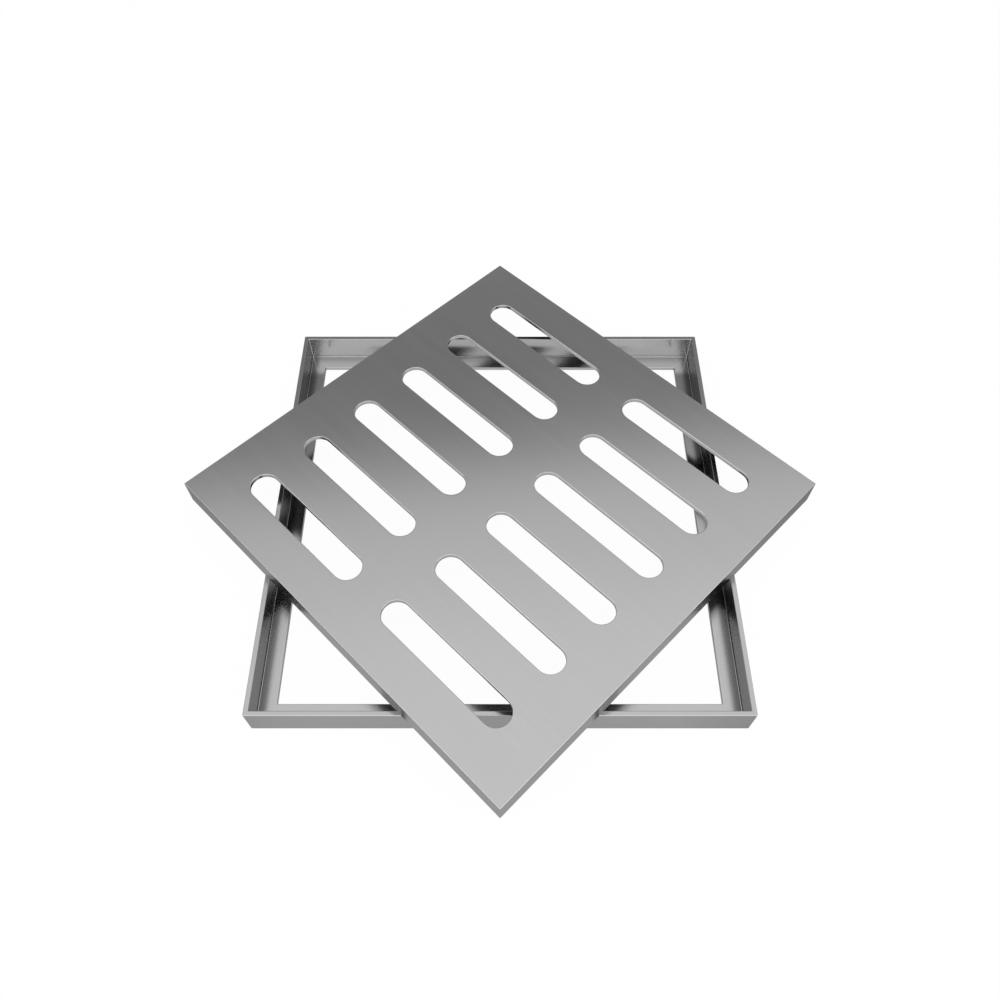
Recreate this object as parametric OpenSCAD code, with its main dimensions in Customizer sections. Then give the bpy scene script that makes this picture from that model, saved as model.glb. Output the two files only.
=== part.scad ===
// Slotted drain grate and the square frame that it seats in, in millimetres.
// The frame is four mitred lengths of angle, welded at the corners and dressed flush.
// The grate is one folded tray of sheet. It is drawn lifted out and turned, lying on the frame's rim.
// Zero is at the middle of the frame's underside, +Z is up, and the slots run along Y.

/* [Frame] */
// Outer side of the square frame
frame_side = 300; // [220:10:500]
// Height of the frame's wall
frame_height = 22.5; // [16:0.5:40]
// Reach of the ledge, from the wall's outer face inwards
ledge_reach = 14.3; // [10:0.1:25]
// Thickness of the angle's two legs
frame_gauge = 3; // [2:0.5:4]
// Radius in the root between wall and ledge
root_r = 0.7; // [0.5:0.1:2]

/* [Grate] */
// Thickness of the grate's sheet
grate_gauge = 3; // [2:0.5:4]
// Gap on each side between the seated grate and the frame's wall
seat_gap = 0.3; // [0.2:0.1:1]
// Outer radius of the folds between top and skirts
fold_r = 0.3; // [0.2:0.1:2]
// Inner radius of those folds
inner_fold_r = 1; // [0.5:0.25:3]

/* [Slots] */
// Rows of slots
slot_rows = 2; // [1:1:3]
// Width of a slot
slot_width = 18.8; // [12:0.2:25]
// Least metal between neighbouring slots of a row
slot_bridge = 25; // [16:1:40]
// Metal from the outermost slots to the grate's side
side_margin = 26.7; // [16:0.1:40]
// Metal from the slots' ends to the grate's edge
end_margin = 29.9; // [16:0.1:40]
// Metal between the rows
row_gap = 27.3; // [16:0.1:40]
// Bevel round both edges of a slot
slot_bevel = 0.5; // [0.2:0.1:1]

/* [Edges] */
// Rounding of the section's cut edges
edge_r = 0.35; // [0.2:0.05:0.9]

/* [Placing] */
// Turn between the grate and the frame that it lies on, in degrees
frame_turn = 45; // [15:5:75]

/* [Hidden] */

// The seated grate fills the frame's pocket and ends flush with the rim
pocket_side = frame_side - 2 * frame_gauge;
grate_side = pocket_side - 2 * seat_gap;
grate_height = frame_height - frame_gauge;

// As many slots as the bridge allows, spread evenly between the margins
slot_span = grate_side - 2 * side_margin;
slot_count = floor((slot_span + slot_bridge) / (slot_width + slot_bridge));
slot_pitch = (slot_span - slot_width) / (slot_count - 1);
row_span = grate_side - 2 * end_margin;
slot_length = (row_span - (slot_rows - 1) * row_gap) / slot_rows;
row_pitch = slot_length + row_gap;

// Cutting shapes reach this far past what they cut
past = 1;
// Each rail's turn from the grate's +Y side
front_turn = frame_turn + 90;
right_turn = frame_turn + 180;
back_turn = frame_turn - 90;
left_turn = frame_turn;

$fn = 64;

// What is left of a square corner outside its rounding, with the corner at zero
module corner_spare(r) {
    difference() {
        square(r);
        translate([r, r]) circle(r);
    }
}

// A corner of a section, with its sides running along x_way and y_way from the point
module at_corner(point, x_way, y_way) {
    translate(point) mirror([x_way < 0 ? 1 : 0, 0]) mirror([0, y_way < 0 ? 1 : 0]) children();
}

// Sections are drawn with x measured inwards from the outer face and y upwards
module angle_section() {
    difference() {
        union() {
            square([frame_gauge, frame_height]);
            square([ledge_reach, frame_gauge]);
            at_corner([frame_gauge, frame_gauge], 1, 1) corner_spare(root_r);
        }
        at_corner([0, 0], 1, 1) corner_spare(edge_r);
        at_corner([0, frame_height], 1, -1) corner_spare(edge_r);
        at_corner([frame_gauge, frame_height], -1, -1) corner_spare(edge_r);
        at_corner([ledge_reach, frame_gauge], -1, -1) corner_spare(edge_r);
        at_corner([ledge_reach, 0], -1, 1) corner_spare(edge_r);
    }
}

// The top runs from the fold to the middle of the grate
module tray_section() {
    top_underside = grate_height - grate_gauge;
    difference() {
        union() {
            square([grate_gauge, grate_height]);
            translate([0, top_underside]) square([grate_side / 2, grate_gauge]);
            at_corner([grate_gauge, top_underside], 1, -1) corner_spare(inner_fold_r);
        }
        at_corner([0, grate_height], 1, -1) corner_spare(fold_r);
        at_corner([0, 0], 1, 1) corner_spare(edge_r);
        at_corner([grate_gauge, 0], -1, 1) corner_spare(edge_r);
    }
}

// The +Y side of a square ring: a section drawn out along the side and mitred at both ends
module mitred_side(side, height) {
    reach = side / 2 + past;
    intersection() {
        translate([-reach, side / 2, 0]) rotate([90, 0, 90]) linear_extrude(2 * reach) mirror([1, 0])
            children();
        translate([0, 0, -past]) linear_extrude(height + 2 * past)
            polygon([[0, 0], [reach, reach], [-reach, reach]]);
    }
}

// One length of the frame's angle, turned about the middle of the frame
module rail(turn) {
    color([0.62, 0.62, 0.63]) rotate(turn) mitred_side(frame_side, frame_height) angle_section();
}

// The space of one slot, bevelled outwards at both faces of the sheet
module slot_space() {
    straight = slot_length - slot_width;
    wall = slot_width / 2;
    flare = wall + slot_bevel + past;
    half = [
        [0, -past], [flare, -past], [wall, slot_bevel],
        [wall, grate_gauge - slot_bevel], [flare, grate_gauge + past], [0, grate_gauge + past]
    ];
    for (turn = [0, 180]) rotate(turn) {
        translate([0, straight / 2, 0]) rotate_extrude(angle = 180) polygon(half);
        rotate([90, 0, 0]) linear_extrude(straight, center = true) polygon(half);
    }
}

module slot_pattern() {
    for (column = [0 : slot_count - 1], row = [0 : slot_rows - 1])
        translate([
            (column - (slot_count - 1) / 2) * slot_pitch,
            (row - (slot_rows - 1) / 2) * row_pitch,
            grate_height - grate_gauge
        ]) slot_space();
}

// The tray lies with the cut edges of its skirts on the rim
module grate() {
    color([0.66, 0.66, 0.67]) translate([0, 0, frame_height]) difference() {
        for (turn = [0 : 90 : 270]) rotate(turn) mitred_side(grate_side, grate_height) tray_section();
        slot_pattern();
    }
}

module rail_front() { rail(front_turn); }
module rail_right() { rail(right_turn); }
module rail_back() { rail(back_turn); }
module rail_left() { rail(left_turn); }

grate();
rail_front();
rail_right();
rail_back();
rail_left();
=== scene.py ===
import math

import bpy
from mathutils import Matrix, Vector


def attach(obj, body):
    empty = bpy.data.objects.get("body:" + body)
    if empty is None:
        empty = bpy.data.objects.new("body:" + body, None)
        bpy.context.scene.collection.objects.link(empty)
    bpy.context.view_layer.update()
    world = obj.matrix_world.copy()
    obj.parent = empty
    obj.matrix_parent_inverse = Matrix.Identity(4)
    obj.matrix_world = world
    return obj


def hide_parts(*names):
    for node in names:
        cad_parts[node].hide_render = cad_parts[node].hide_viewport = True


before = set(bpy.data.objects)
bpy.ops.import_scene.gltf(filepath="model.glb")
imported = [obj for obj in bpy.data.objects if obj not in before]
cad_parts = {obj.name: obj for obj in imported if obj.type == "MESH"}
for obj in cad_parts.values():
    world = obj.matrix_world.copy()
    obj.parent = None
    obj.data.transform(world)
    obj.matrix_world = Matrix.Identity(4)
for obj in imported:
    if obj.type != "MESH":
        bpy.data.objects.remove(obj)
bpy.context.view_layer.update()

# Sizes in metres, as in the part's source
FRAME_SIDE = 0.300
FRAME_HEIGHT = 0.0225
LEDGE_REACH = 0.0143
ANGLE_GAUGE = 0.003
ROOT_R = 0.0007
GRATE_SIDE = 0.2934
GRATE_HEIGHT = 0.0195
SHEET = 0.003
FOLD_R = 0.0003
INNER_FOLD_R = 0.001
SLOT_COLUMNS = 6
SLOT_ROWS = 2
SLOT_WIDTH = 0.0188
SLOT_LENGTH = 0.10315
SLOT_PITCH = 0.04424
ROW_PITCH = 0.13045
EDGE_R = 0.00035
GRATE_TOP = FRAME_HEIGHT + GRATE_HEIGHT
SLOT_STRAIGHT = (SLOT_LENGTH - SLOT_WIDTH) / 2  # from a slot's middle to where its end turns round

FRAME_TURN = 45          # degrees between the frame and the grate
FRAME_CORNER_R = 0.0007  # upright corners of the frame, dressed by hand after welding

# Steps across a rounding
SLOT_ARC = 12     # in a quarter of a slot's round end, an even number
FOLD_STEPS = 4    # across the folds and along the slots' edges
FOOT_STEPS = 3    # across the cut edge at the foot of the skirts
ANGLE_STEPS = 4   # across each rounding of the angle's section
CORNER_STEPS = 6  # round an upright corner of the frame

SMOOTH_UP_TO = 35    # degrees between two faces that are still shaded as one

SLOT_COLLAR = 0.001  # flat ring round each slot, which its rounded edge is taken from
NEAR = 2e-6          # two places this close count as one


# Working on a mesh

def start_sheet(name, width, length):
    """A flat sheet on the ground, with nothing else selected, left in edit mode."""
    bpy.ops.object.select_all(action="DESELECT")
    bpy.ops.mesh.primitive_plane_add(size=1)
    piece = bpy.context.object
    piece.name = piece.data.name = name
    bpy.ops.object.mode_set(mode="EDIT")
    bpy.ops.transform.resize(value=(width, length, 1), center_override=(0, 0, 0))
    return piece


def choose(piece, kind, test):
    """Selects the corners, edges or faces whose places pass the test, and leaves edit mode on."""
    if piece.mode == "EDIT":
        bpy.ops.object.mode_set(mode="OBJECT")
    bpy.ops.object.mode_set(mode="EDIT")
    bpy.ops.mesh.select_mode(type=kind)
    bpy.ops.mesh.select_all(action="DESELECT")
    bpy.ops.object.mode_set(mode="OBJECT")
    mesh = piece.data
    if kind == "VERT":
        for v in mesh.vertices:
            v.select = test(v.co)
    else:
        for part in mesh.edges if kind == "EDGE" else mesh.polygons:
            part.select = test(*(mesh.vertices[i].co for i in part.vertices))
    bpy.ops.object.mode_set(mode="EDIT")


def close_work(piece):
    """Leaves edit mode, so that the mesh can be read."""
    if piece.mode == "EDIT":
        bpy.ops.object.mode_set(mode="OBJECT")
    return piece


def apply_modifier(piece, name, kind, **settings):
    modifier = piece.modifiers.new(name, kind)
    for setting, value in settings.items():
        setattr(modifier, setting, value)
    bpy.context.view_layer.objects.active = piece
    bpy.ops.object.modifier_apply(modifier=name)


def round_off(piece, radius, steps, test):
    """Rounds the edges that pass the test."""
    choose(piece, "EDGE", test)
    bpy.ops.mesh.bevel(offset=radius, offset_type="OFFSET", segments=steps, profile=0.5,
                       affect="EDGES", clamp_overlap=False, loop_slide=True)
    close_work(piece)


def smooth_rounds(piece):
    """Shades the roundings smooth, between faces that stay flat."""
    bpy.ops.object.select_all(action="DESELECT")
    piece.select_set(True)
    bpy.context.view_layer.objects.active = piece
    bpy.ops.object.shade_smooth_by_angle(angle=math.radians(SMOOTH_UP_TO))
    apply_modifier(piece, "flat faces", "WEIGHTED_NORMAL", mode="FACE_AREA", weight=100,
                   keep_sharp=True)


# Places and edges

def near(a, b):
    return abs(a - b) < NEAR


def from_square(co, half, corner=0.0):
    """How far a place lies outside a square outline with round corners, seen from above."""
    x, y = abs(co.x) - half + corner, abs(co.y) - half + corner
    return math.hypot(max(x, 0), max(y, 0)) + min(max(x, y), 0) - corner


def on_square(a, b, half, corner=0.0):
    return near(from_square(a, half, corner), 0) and near(from_square(b, half, corner), 0)


def level(a, b, z):
    return near(a.z, z) and near(b.z, z)


def upright(a, b):
    return near(a.x, b.x) and near(a.y, b.y)


def in_corner(co, half):
    return near(abs(co.x), half) and near(abs(co.y), half)


def from_slot(x, y):
    """How far a place lies from the middle line of a slot, given as seen from the slot's middle."""
    return math.hypot(x, max(0, abs(y) - SLOT_STRAIGHT))


def slot_edge(a, b):
    """Whether an edge lies along the outline of one of the slots."""
    for co in (a, b):
        column = round(co.x / SLOT_PITCH + (SLOT_COLUMNS - 1) / 2)
        row = round(co.y / ROW_PITCH + (SLOT_ROWS - 1) / 2)
        x = co.x - (column - (SLOT_COLUMNS - 1) / 2) * SLOT_PITCH
        y = co.y - (row - (SLOT_ROWS - 1) / 2) * ROW_PITCH
        if abs(from_slot(x, y) - SLOT_WIDTH / 2) > SLOT_COLLAR / 50:
            return False
    return True


# The grate: one sheet, slotted and folded down along its four sides

def slot_cell():
    """The rectangle of sheet round one slot, with the slot open in its middle."""
    collar_r = SLOT_WIDTH / 2 + SLOT_COLLAR
    cell = start_sheet("grate_tray", 2 * collar_r, SLOT_LENGTH + 2 * SLOT_COLLAR)
    bpy.ops.mesh.bevel(offset=collar_r, offset_type="OFFSET", segments=SLOT_ARC, profile=0.5,
                       affect="VERTICES", clamp_overlap=False)
    bpy.ops.mesh.select_all(action="SELECT")
    bpy.ops.mesh.remove_doubles(threshold=NEAR)
    bpy.ops.mesh.inset(thickness=SLOT_COLLAR, use_boundary=True, use_even_offset=True)
    bpy.ops.mesh.delete(type="FACE")
    # the collar's outline is drawn out, then flattened against each side of the cell in turn
    choose(cell, "EDGE",
           lambda a, b: min(from_slot(a.x, a.y), from_slot(b.x, b.y)) > collar_r - NEAR)
    bpy.ops.mesh.extrude_edges_move()
    wider, longer = 1.5, 1.2
    bpy.ops.transform.resize(value=(wider, longer, 1), center_override=(0, 0, 0))
    close_work(cell)

    def beside(co):
        """Above 0 beside the slot, below 0 past its ends, and 0 where the cell's corners come."""
        return abs(co.x) / wider - (abs(co.y) / longer - SLOT_STRAIGHT)

    drawn_out = [v.co.copy() for v in cell.data.vertices
                 if from_slot(v.co.x, v.co.y) > collar_r + SLOT_COLLAR]
    sides = [p for p in drawn_out if beside(p) > -NEAR]
    ends = [p for p in drawn_out if beside(p) < NEAR]

    def one_of(places):
        return lambda co: any((co - p).length < NEAR for p in places)

    for way in (-1, 1):
        choose(cell, "VERT", one_of([p for p in ends if p.y * way > 0]))
        bpy.ops.transform.resize(value=(1, 0, 1), center_override=(0, way * ROW_PITCH / 2, 0))
    # the corners have moved with the ends, and are looked for where they are now
    corners = [Vector((p.x, math.copysign(ROW_PITCH / 2, p.y), 0))
               for p in sides if near(beside(p), 0)]
    for way in (-1, 1):
        choose(cell, "VERT", one_of([p for p in sides + corners if p.x * way > 0]))
        bpy.ops.transform.resize(value=(0, 1, 1), center_override=(way * SLOT_PITCH / 2, 0, 0))
    return close_work(cell)


def make_grate():
    tray = slot_cell()
    bpy.ops.object.mode_set(mode="EDIT")
    bpy.ops.mesh.select_all(action="SELECT")
    first_slot = (-(SLOT_COLUMNS - 1) / 2 * SLOT_PITCH, -(SLOT_ROWS - 1) / 2 * ROW_PITCH, GRATE_TOP)
    bpy.ops.transform.translate(value=first_slot)
    close_work(tray)
    for name, count, step in (("columns", SLOT_COLUMNS, (SLOT_PITCH, 0, 0)),
                              ("rows", SLOT_ROWS, (0, ROW_PITCH, 0))):
        apply_modifier(tray, name, "ARRAY", count=count, use_relative_offset=False,
                       use_constant_offset=True, constant_offset_displace=step,
                       use_merge_vertices=True, merge_threshold=NEAR)
    # the margin, then the skirts
    field_x, field_y = SLOT_COLUMNS * SLOT_PITCH / 2, SLOT_ROWS * ROW_PITCH / 2
    choose(tray, "EDGE", lambda a, b: (near(abs(a.x), field_x) and near(a.x, b.x))
           or (near(abs(a.y), field_y) and near(a.y, b.y)))
    bpy.ops.mesh.extrude_edges_move()
    half = GRATE_SIDE / 2
    bpy.ops.transform.resize(value=(half / field_x, half / field_y, 1),
                             center_override=(0, 0, GRATE_TOP))
    bpy.ops.mesh.extrude_edges_move(TRANSFORM_OT_translate={"value": (0, 0, -GRATE_HEIGHT)})
    bpy.ops.mesh.select_all(action="SELECT")
    bpy.ops.mesh.normals_make_consistent(inside=False)
    close_work(tray)
    apply_modifier(tray, "sheet", "SOLIDIFY", thickness=SHEET, offset=-1, use_even_offset=True,
                   use_quality_normals=True, use_rim=True)
    under = GRATE_TOP - SHEET
    inner = half - SHEET
    round_off(tray, FOLD_R, FOLD_STEPS,
              lambda a, b: (level(a, b, GRATE_TOP) and on_square(a, b, half))
              or (upright(a, b) and in_corner(a, half)))
    round_off(tray, INNER_FOLD_R, FOLD_STEPS,
              lambda a, b: (level(a, b, under) and on_square(a, b, inner))
              or (upright(a, b) and in_corner(a, inner)))
    round_off(tray, EDGE_R, FOOT_STEPS,
              lambda a, b: level(a, b, FRAME_HEIGHT)
              and (on_square(a, b, half, FOLD_R) or on_square(a, b, inner, INNER_FOLD_R)))
    round_off(tray, EDGE_R, FOLD_STEPS,
              lambda a, b: slot_edge(a, b) and (level(a, b, GRATE_TOP) or level(a, b, under)))
    smooth_rounds(tray)
    return tray


# The frame: a ring of angle, drawn round its section, turned and parted at the mitres

def angle_section():
    """Places round the angle's section, as distances inwards from its outer face and heights."""
    places = []

    def rounding(inwards, height, radius, start, end):
        for step in range(ANGLE_STEPS + 1):
            turn = math.radians(start + (end - start) * step / ANGLE_STEPS)
            places.append((inwards + radius * math.cos(turn), height + radius * math.sin(turn)))

    rounding(EDGE_R, FRAME_HEIGHT - EDGE_R, EDGE_R, 180, 90)
    rounding(ANGLE_GAUGE - EDGE_R, FRAME_HEIGHT - EDGE_R, EDGE_R, 90, 0)
    rounding(ANGLE_GAUGE + ROOT_R, ANGLE_GAUGE + ROOT_R, ROOT_R, 180, 270)
    rounding(LEDGE_REACH - EDGE_R, ANGLE_GAUGE - EDGE_R, EDGE_R, 90, 0)
    rounding(LEDGE_REACH - EDGE_R, EDGE_R, EDGE_R, 0, -90)
    rounding(EDGE_R, EDGE_R, EDGE_R, -90, -180)
    return places


def make_frame_ring():
    """The whole frame in one piece, from its square outline drawn round the angle's section."""
    ring = start_sheet("frame_ring", FRAME_SIDE, FRAME_SIDE)
    bpy.ops.mesh.bevel(offset=FRAME_CORNER_R, offset_type="OFFSET", segments=CORNER_STEPS,
                       profile=0.5, affect="VERTICES")
    bpy.ops.mesh.select_all(action="SELECT")
    bpy.ops.mesh.delete(type="ONLY_FACE")
    bpy.ops.mesh.select_all(action="SELECT")
    section = angle_section()
    half, height = FRAME_SIDE / 2, section[-1][1]
    bpy.ops.transform.translate(value=(0, 0, height))
    for inwards, next_height in section:
        next_half = FRAME_SIDE / 2 - inwards
        rise = {"value": (0, 0, next_height - height)}
        bpy.ops.mesh.extrude_edges_move(TRANSFORM_OT_translate=rise)
        bpy.ops.transform.resize(value=(next_half / half, next_half / half, 1),
                                 center_override=(0, 0, 0))
        half, height = next_half, next_height
    bpy.ops.mesh.select_all(action="SELECT")
    bpy.ops.mesh.remove_doubles(threshold=NEAR)
    bpy.ops.mesh.normals_make_consistent(inside=False)
    bpy.ops.transform.rotate(value=math.radians(FRAME_TURN), orient_axis="Z",
                             center_override=(0, 0, 0))
    return close_work(ring)


def make_rails():
    """The frame's four lengths, each a quarter of the ring closed at its mitres, by their nodes."""
    ring = make_frame_ring()
    rails = {}
    for name, way_x, way_y in (("rail_front", -1, -1), ("rail_right", 1, -1),
                               ("rail_back", 1, 1), ("rail_left", -1, 1)):
        rail = ring.copy()
        rail.data = ring.data.copy()
        rail.name = rail.data.name = "brushed_" + name
        bpy.context.scene.collection.objects.link(rail)
        bpy.ops.object.select_all(action="DESELECT")
        rail.select_set(True)
        bpy.context.view_layer.objects.active = rail
        choose(rail, "FACE", lambda *places: sum(p.x for p in places) * way_x < 0
               or sum(p.y for p in places) * way_y < 0)
        bpy.ops.mesh.delete(type="FACE")
        for axis in ("x", "y"):
            choose(rail, "EDGE",
                   lambda a, b: near(getattr(a, axis), 0) and near(getattr(b, axis), 0))
            bpy.ops.mesh.edge_face_add()
        bpy.ops.mesh.select_all(action="SELECT")
        bpy.ops.mesh.normals_make_consistent(inside=False)
        close_work(rail)
        smooth_rounds(rail)
        rails[name] = rail
    bpy.data.objects.remove(ring)
    return rails


# Working on a material

def link(tree, *ends):
    """Links sockets given as (node, output, node, input)."""
    for from_node, output, to_node, entry in ends:
        tree.links.new(from_node.outputs[output], to_node.inputs[entry])


def calculate(tree, operation, *values):
    """What a Math node puts out for numbers or other nodes' outputs."""
    node = tree.nodes.new("ShaderNodeMath")
    node.operation = operation
    for entry, value in enumerate(values):
        if isinstance(value, (int, float)):
            node.inputs[entry].default_value = value
        else:
            tree.links.new(value, node.inputs[entry])
    return node.outputs[0]


def run_between(tree, value, start, end, low=0.0, high=1.0):
    """What a Map Range node puts out that runs from low at start to high at end."""
    node = tree.nodes.new("ShaderNodeMapRange")
    numbers = {"From Min": start, "From Max": end, "To Min": low, "To Max": high}
    for entry, number in numbers.items():
        node.inputs[entry].default_value = number
    tree.links.new(value, node.inputs["Value"])
    return node.outputs[0]


def set_stops(ramp, stops):
    """Gives a colour ramp its stops, as places on it and greys."""
    points = ramp.color_ramp.elements
    while len(points) < len(stops):
        points.new(0.5)
    for point, (place, grey) in zip(points, stops):
        point.position = place
        point.color = (grey, grey, grey, 1)


def start_group(name, numbers, outputs):
    """A node group that takes coordinates and numbers, with its entry and its exit."""
    group = bpy.data.node_groups.new(name, "ShaderNodeTree")
    face = group.interface
    face.new_socket("Vector", in_out="INPUT", socket_type="NodeSocketVector")
    for entry, default in numbers.items():
        socket = face.new_socket(entry, in_out="INPUT", socket_type="NodeSocketFloat")
        socket.default_value = default
    for output, kind in outputs.items():
        face.new_socket(output, in_out="OUTPUT", socket_type=kind)
    return group, group.nodes.new("NodeGroupInput"), group.nodes.new("NodeGroupOutput")


# Brushed steel

# mean tone and roughness
GRATE_STEEL = (0.47, 0.20)
FRAME_STEEL = (0.46, 0.19)
TONE_RANGE = 0.025
ROUGHNESS_RANGE = 0.025
STEEL_EDGE = 0.52  # how bright steel mirrors at a glancing angle, against a plain mirror

# layers of the grain: changes for each metre, along the lines and across them, and detail
FINE_LINES = ((14, 2600, 2600), 2)
SOFT_BANDS = ((5, 170, 170), 3)
PATCHY_SHEEN = ((11, 14, 14), 2)
# how much each of them shows in the tone and in the roughness, and how deep the lines are
LINES_IN_TONE, BANDS_IN_TONE, SHEEN_IN_TONE = 1.4, 1.1, 0.8
BANDS_IN_ROUGHNESS, SHEEN_IN_ROUGHNESS = 1.2, 1.6
LINE_DEPTH = 0.00001
LINE_STRENGTH = 0.15

ROOT_SHADE = 0.42    # how much darker the ledge is painted in the root: painted shade in its tone
ROOT_REACH = 0.0076  # how far from the wall that shade runs out
WALL_START, WALL_END = 0.001, 0.002  # depths in the wall between which the shade ends
# heights on the rail and the painted shade there: on the ledge, not on the rounded root, and
# faintly on the wall above it
ROOT_SPAN = 0.01
ROOT_HEIGHTS = ((0.001, 0), (0.002, 1), (0.00302, 1), (0.00315, 0), (0.0036, 0), (0.00372, 0.6),
                (0.0062, 0))


def brushed_grain():
    """Fine lines along X, broad soft bands among them, and a patchy sheen, for all the steels."""
    group, entry, leave = start_group(
        "brushed grain",
        {"Tone": GRATE_STEEL[0], "Tone Range": TONE_RANGE,
         "Roughness": GRATE_STEEL[1], "Roughness Range": ROUGHNESS_RANGE},
        {"Color": "NodeSocketColor", "Roughness": "NodeSocketFloat", "Height": "NodeSocketFloat"})
    nodes = group.nodes

    def streaks(scale, detail):
        stretch = nodes.new("ShaderNodeVectorMath")
        stretch.operation = "MULTIPLY"
        stretch.inputs[1].default_value = scale
        noise = nodes.new("ShaderNodeTexNoise")
        noise.inputs["Scale"].default_value = 1
        noise.inputs["Detail"].default_value = detail
        link(group, (entry, "Vector", stretch, 0), (stretch, 0, noise, "Vector"))
        return noise

    def centred(noise, gain):
        return calculate(group, "MULTIPLY",
                         calculate(group, "SUBTRACT", noise.outputs["Fac"], 0.5), gain)

    lines, bands, sheen = streaks(*FINE_LINES), streaks(*SOFT_BANDS), streaks(*PATCHY_SHEEN)
    soft_tones = calculate(group, "ADD", centred(bands, BANDS_IN_TONE),
                           centred(sheen, SHEEN_IN_TONE))
    tones = calculate(group, "ADD", centred(lines, LINES_IN_TONE), soft_tones)
    roughs = calculate(group, "ADD", centred(bands, BANDS_IN_ROUGHNESS),
                       centred(sheen, SHEEN_IN_ROUGHNESS))
    tone = calculate(group, "MULTIPLY_ADD", tones, entry.outputs["Tone Range"],
                     entry.outputs["Tone"])
    rough = calculate(group, "MULTIPLY_ADD", roughs, entry.outputs["Roughness Range"],
                      entry.outputs["Roughness"])
    grey = nodes.new("ShaderNodeCombineColor")
    for channel in range(3):
        group.links.new(tone, grey.inputs[channel])
    group.links.new(rough, leave.inputs["Roughness"])
    link(group, (grey, 0, leave, "Color"), (lines, "Fac", leave, "Height"))
    return group


def root_shade():
    """A soft painted shade along the root of the angle, for coordinates that run along the rail."""
    group, entry, leave = start_group("root shade", {}, {"Shade": "NodeSocketFloat"})
    split, by_height = (group.nodes.new("ShaderNodeSeparateXYZ"),
                        group.nodes.new("ShaderNodeValToRGB"))
    group.links.new(entry.outputs["Vector"], split.inputs[0])
    set_stops(by_height, [(height / ROOT_SPAN, shade) for height, shade in ROOT_HEIGHTS])
    group.links.new(calculate(group, "DIVIDE", split.outputs["Z"], ROOT_SPAN),
                    by_height.inputs["Fac"])
    across = calculate(group, "ABSOLUTE", split.outputs["Y"])
    root = FRAME_SIDE / 2 - ANGLE_GAUGE
    on_ledge = calculate(group, "MULTIPLY", by_height.outputs[0],
                         run_between(group, across, root - ROOT_REACH, root))
    shade = calculate(group, "MULTIPLY", on_ledge,
                      run_between(group, across, root + WALL_END, root + WALL_START))
    group.links.new(shade, leave.inputs["Shade"])
    return group


def steel(name, grain, turn, tone, roughness, shade=None):
    """Brushed stainless steel, with its grain turned by so many degrees to run along the piece."""
    material = bpy.data.materials.new(name)
    material.use_nodes = True
    tree = material.node_tree
    tree.nodes.clear()
    place, turned = tree.nodes.new("ShaderNodeTexCoord"), tree.nodes.new("ShaderNodeMapping")
    turned.inputs["Rotation"].default_value = (0, 0, math.radians(turn))
    brushed = tree.nodes.new("ShaderNodeGroup")
    brushed.node_tree = grain
    brushed.inputs["Tone"].default_value = tone
    brushed.inputs["Roughness"].default_value = roughness
    bump = tree.nodes.new("ShaderNodeBump")
    bump.inputs["Strength"].default_value = LINE_STRENGTH
    bump.inputs["Distance"].default_value = LINE_DEPTH
    surface = tree.nodes.new("ShaderNodeBsdfPrincipled")
    surface.inputs["Metallic"].default_value = 1
    surface.inputs["Specular Tint"].default_value = (STEEL_EDGE, STEEL_EDGE, STEEL_EDGE, 1)
    out = tree.nodes.new("ShaderNodeOutputMaterial")
    link(tree, (place, "Object", turned, "Vector"), (turned, "Vector", brushed, "Vector"),
         (brushed, "Color", surface, "Base Color"), (brushed, "Roughness", surface, "Roughness"),
         (brushed, "Height", bump, "Height"), (bump, "Normal", surface, "Normal"),
         (surface, "BSDF", out, "Surface"))
    if shade:
        # the shade is painted into the tone, and only the camera sees it, so that the walls mirror
        # a clean ledge
        shaded, sight = tree.nodes.new("ShaderNodeGroup"), tree.nodes.new("ShaderNodeLightPath")
        shaded.node_tree = shade
        link(tree, (turned, "Vector", shaded, "Vector"))
        seen = calculate(tree, "MULTIPLY", shaded.outputs["Shade"], sight.outputs["Is Camera Ray"])
        tree.links.new(calculate(tree, "MULTIPLY_ADD", seen, -tone * ROOT_SHADE, tone),
                       brushed.inputs["Tone"])
    return material


# Camera, floor, lamps and world. They are placed from the camera's side: x to its right, y away
# from it.

CAMERA_SIDE = math.radians(-45)  # the turn from the object's own axes to the camera's side
CAMERA_LENS = 31.266             # mm, on a sensor 36 mm wide
CAMERA_PLACE = (-0.22673, -0.2264, 0.51383)
CAMERA_TURN = (33.09, -0.0224, -45.0076)  # degrees
CAMERA_CLIP = (0.01, 200)

FLOOR_SIZE = 60
FLOOR_TONE = 0.80
FLOOR_DEEP = 0.2            # how much of that tone is left where it is mirrored more than once
SEEN_GLOW = 0.97            # share of plain white in the floor as the camera sees it
MIRRORED_GLOW = 0.85        # share of the glow's tone in the floor as the steel mirrors it
GLOW_TONES = (0.89, 0.34)   # that tone across the middle of the floor, and far out to its sides
GLOW_REACH = (0.12, 0.26)   # how far out from the middle line it starts to fall, and where it ends
GLOW_MIDDLE = -0.012        # the middle line's place, to the camera's right

# name, height, where its back and front edges lie as slopes from the object, width, and power
# for each square metre
PANELS = (
    ("overhead panel", 3.0, 0.705, -1.30, 9.0, 2.06),
    ("forward panel", 2.9, 0.45, -1.30, 7.0, 0.5),
    ("camera side panel", 2.8, -0.05, -1.06, 8.4, 2.65),
)
PANEL_SKEW = math.atan(0.13)  # how far the panels' edges turn from the camera's own

# name, bearing from the camera's side, width, and power for each square metre
STANDING_PANELS = (
    ("left panel", -70, 1.6, 5.0),
    ("front panel", 0, 2.4, 2.8),
    ("right panel", 70, 1.6, 5.0),
)
STANDING_DISTANCE = 2.6
STANDING_RISE = math.radians(24)
STANDING_HEIGHT = 1.4

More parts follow.
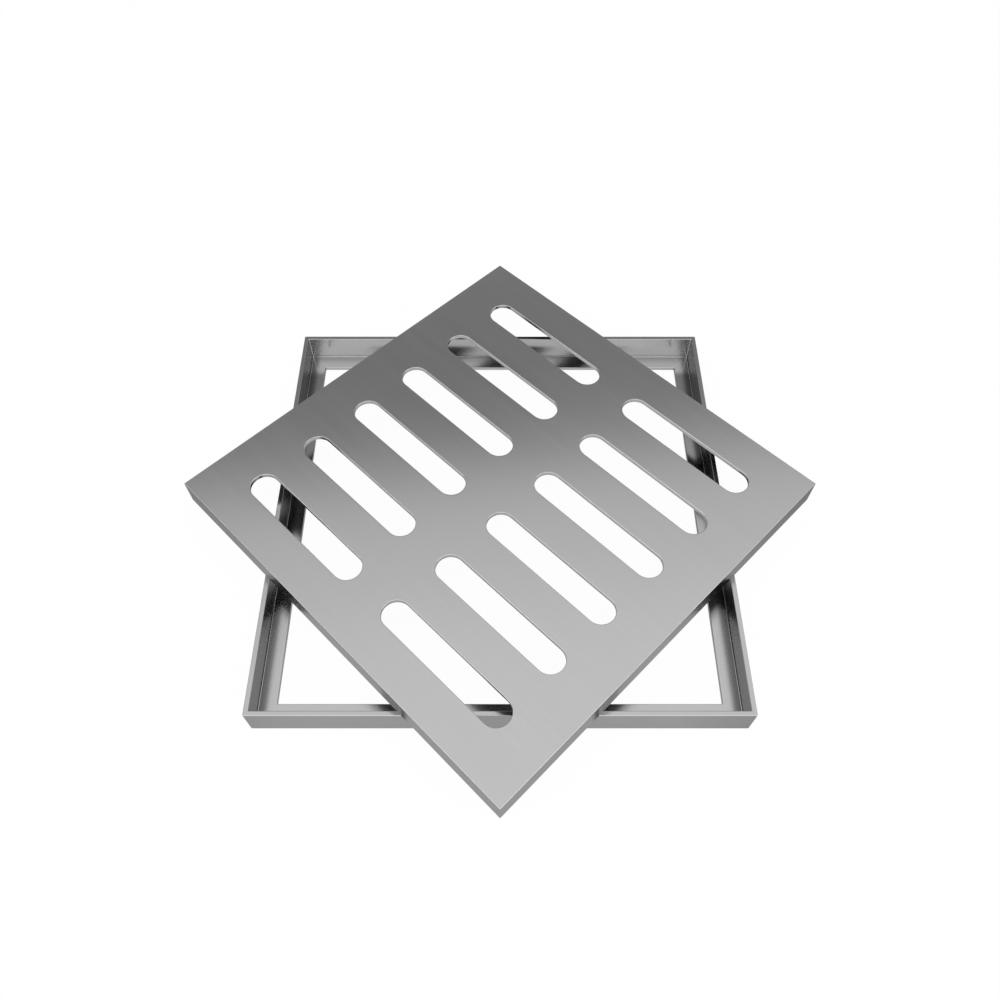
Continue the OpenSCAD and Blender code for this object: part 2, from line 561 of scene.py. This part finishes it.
# how high a way points, from 0 level or below to 1 straight up, and the grey of the world there
WORLD_GREYS = ((0.0, 0.55), (0.5, 0.50), (0.65, 0.38), (0.70, 0.28), (1.0, 0.28))


def from_camera_side(x, y, z):
    return Matrix.Rotation(CAMERA_SIDE, 4, "Z") @ Vector((x, y, z))


def set_camera():
    data = bpy.data.cameras.new("camera")
    data.sensor_width = 36
    data.lens = CAMERA_LENS
    data.clip_start, data.clip_end = CAMERA_CLIP
    camera = bpy.data.objects.new("camera", data)
    camera.location = CAMERA_PLACE
    camera.rotation_euler = [math.radians(turn) for turn in CAMERA_TURN]
    bpy.context.scene.collection.objects.link(camera)
    bpy.context.scene.camera = camera


def set_floor():
    """A pale floor: white to the camera, greyer to the steel, and matt to all other light."""
    bpy.ops.object.select_all(action="DESELECT")
    bpy.ops.mesh.primitive_plane_add(size=FLOOR_SIZE)
    floor = bpy.context.object
    floor.name = "studio_floor"
    material = bpy.data.materials.new("pale floor")
    material.use_nodes = True
    tree = material.node_tree
    tree.nodes.clear()
    new = tree.nodes.new
    matt, glow, mix, out = (new("ShaderNodeBsdfDiffuse"), new("ShaderNodeEmission"),
                            new("ShaderNodeMixShader"), new("ShaderNodeOutputMaterial"))
    glow.inputs["Color"].default_value = (1, 1, 1, 1)
    path, place, aside = (new("ShaderNodeLightPath"), new("ShaderNodeTexCoord"),
                          new("ShaderNodeVectorMath"))
    aside.operation = "DOT_PRODUCT"
    aside.inputs[1].default_value = from_camera_side(1, 0, 0)
    tree.links.new(place.outputs["Object"], aside.inputs[0])

    seen = path.outputs["Is Camera Ray"]
    once = calculate(tree, "LESS_THAN", path.outputs["Ray Depth"], 1.5)
    mirrored = calculate(tree, "MAXIMUM", path.outputs["Is Glossy Ray"],
                         path.outputs["Is Transmission Ray"])
    mirrored_once = calculate(tree, "MULTIPLY", mirrored, once)
    matt_tone = calculate(tree, "MULTIPLY", calculate(tree, "MAXIMUM", once, FLOOR_DEEP),
                          FLOOR_TONE)
    off_middle = calculate(tree, "ABSOLUTE",
                           calculate(tree, "SUBTRACT", aside.outputs["Value"], GLOW_MIDDLE))
    glow_tone = run_between(tree, off_middle, *GLOW_REACH, *GLOW_TONES)
    share = calculate(tree, "MAXIMUM", calculate(tree, "MULTIPLY", seen, SEEN_GLOW),
                      calculate(tree, "MULTIPLY", mirrored_once, MIRRORED_GLOW))
    tree.links.new(matt_tone, matt.inputs["Color"])
    tree.links.new(calculate(tree, "MAXIMUM", seen, glow_tone), glow.inputs["Strength"])
    tree.links.new(share, mix.inputs["Fac"])
    link(tree, (matt, "BSDF", mix, 1), (glow, "Emission", mix, 2), (mix, "Shader", out, "Surface"))
    floor.data.materials.append(material)


def add_lamp(name, width, depth, place, turn, power):
    """A soft rectangular lamp that shines along its own -Z."""
    data = bpy.data.lights.new(name, "AREA")
    data.shape = "RECTANGLE"
    data.size, data.size_y = width, depth
    data.energy = power * width * depth
    lamp = bpy.data.objects.new(name, data)
    lamp.location = place
    lamp.rotation_euler = turn
    bpy.context.scene.collection.objects.link(lamp)


def set_lamps():
    """Panels overhead, each starting further forward, so that the light grows towards the
    camera's side, and standing panels round that side."""
    for name, height, back_slope, front_slope, width, power in PANELS:
        back, front = (slope * height * math.cos(PANEL_SKEW) for slope in (back_slope, front_slope))
        middle = Matrix.Rotation(PANEL_SKEW, 4, "Z") @ Vector((0, (back + front) / 2, height))
        add_lamp(name, width, back - front, from_camera_side(*middle),
                 (0, 0, PANEL_SKEW + CAMERA_SIDE), power)
    for name, bearing, width, power in STANDING_PANELS:
        bearing = math.radians(bearing)
        out = STANDING_DISTANCE * math.cos(STANDING_RISE)
        place = from_camera_side(out * math.sin(bearing), -out * math.cos(bearing),
                                 STANDING_DISTANCE * math.sin(STANDING_RISE))
        turn = place.to_track_quat("Z", "Y").to_euler()
        add_lamp(name, width, STANDING_HEIGHT, place, turn, power)


def set_world():
    """A grey sky for light and reflections, which the camera sees as white."""
    world = bpy.data.worlds.new("studio")
    bpy.context.scene.world = world
    world.use_nodes = True
    tree = world.node_tree
    tree.nodes.clear()
    new = tree.nodes.new
    way, split, ramp = (new("ShaderNodeTexCoord"), new("ShaderNodeSeparateXYZ"),
                        new("ShaderNodeValToRGB"))
    light, white, sight, mix, out = (new("ShaderNodeBackground"), new("ShaderNodeBackground"),
                                     new("ShaderNodeLightPath"), new("ShaderNodeMixShader"),
                                     new("ShaderNodeOutputWorld"))
    set_stops(ramp, WORLD_GREYS)
    white.inputs["Color"].default_value = (1, 1, 1, 1)
    link(tree, (way, "Generated", split, 0), (split, "Z", ramp, "Fac"),
         (ramp, "Color", light, "Color"), (sight, "Is Camera Ray", mix, "Fac"),
         (light, "Background", mix, 1), (white, "Background", mix, 2),
         (mix, "Shader", out, "Surface"))


grain, shade = brushed_grain(), root_shade()
grate = make_grate()
grate.data.materials.append(steel("brushed grate steel", grain, 90, *GRATE_STEEL))
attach(grate, "root")
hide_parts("grate")
for node, rail in make_rails().items():
    along = FRAME_TURN if node in ("rail_front", "rail_back") else -FRAME_TURN
    rail.data.materials.append(steel("brushed steel " + node, grain, along, *FRAME_STEEL, shade))
    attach(rail, "root")
    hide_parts(node)

set_camera()
set_floor()
set_lamps()
set_world()
bpy.context.scene.view_settings.view_transform = "Standard"
